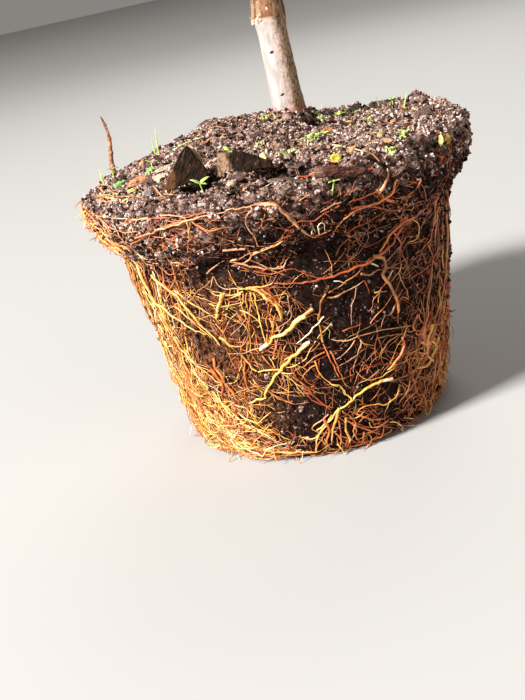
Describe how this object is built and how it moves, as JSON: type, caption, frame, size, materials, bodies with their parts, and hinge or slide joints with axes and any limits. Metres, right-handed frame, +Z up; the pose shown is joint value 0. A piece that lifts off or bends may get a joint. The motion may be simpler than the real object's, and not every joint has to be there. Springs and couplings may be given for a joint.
{
  "type": "leafless grafted sapling with bare root ball",
  "caption": "Young leafless tree lifted from its pot: tapering stem with a graft union, side shoots and twigs on a pot-shaped root ball.",
  "frame": {"origin": "centre of the root ball's flat underside, which the tree stands on", "axes": "+Z up along the stem; -Y towards the side the picture shows, +X to that view's right"},
  "size_m": [0.3805, 0.3714, 0.9603],
  "materials": {
    "soil": "matte",
    "root_orange": "satin",
    "root_yellow": "satin",
    "bark": "matte",
    "twig": "satin",
    "dead_wood": "matte",
    "bark_chip": "matte"
  },
  "bodies": {
    "root": {"bough_1": "bark", "bough_2": "bark", "bough_3": "bark", "bough_4": "bark", "bough_5": "bark", "bough_6": "bark", "bough_7": "bark", "bough_8": "bark", "bough_9": "bark", "chip_flat": "bark_chip", "chip_folded": "bark_chip", "chip_upright": "bark_chip", "dead_twig": "dead_wood", "root_ball": "soil", "root_collar": "root_orange", "root_fan": "root_orange", "root_foot_left": "root_orange", "root_fork_right": "root_orange", "root_fork_yellow": "root_yellow", "root_left_long": "root_orange", "root_pale": "root_yellow", "root_pale_loop": "root_yellow", "root_right_low": "root_orange", "root_side_1": "root_orange", "root_side_10": "root_orange", "root_side_11": "root_orange", "root_side_12": "root_orange", "root_side_13": "root_orange", "root_side_14": "root_orange", "root_side_15": "root_orange", "root_side_2": "root_orange", "root_side_3": "root_orange", "root_side_4": "root_orange", "root_side_5": "root_orange", "root_side_6": "root_orange", "root_side_7": "root_orange", "root_side_8": "root_orange", "root_side_9": "root_orange", "root_sweep": "root_orange", "root_thick": "root_yellow", "trunk": "bark", "twigs_1": "twig", "twigs_2": "twig", "twigs_3": "twig", "twigs_4": "twig", "twigs_5": "twig", "twigs_6": "twig", "twigs_7": "twig", "twigs_8": "twig", "twigs_9": "twig", "twigs_leader": "twig"}
  },
  "joints": []
}
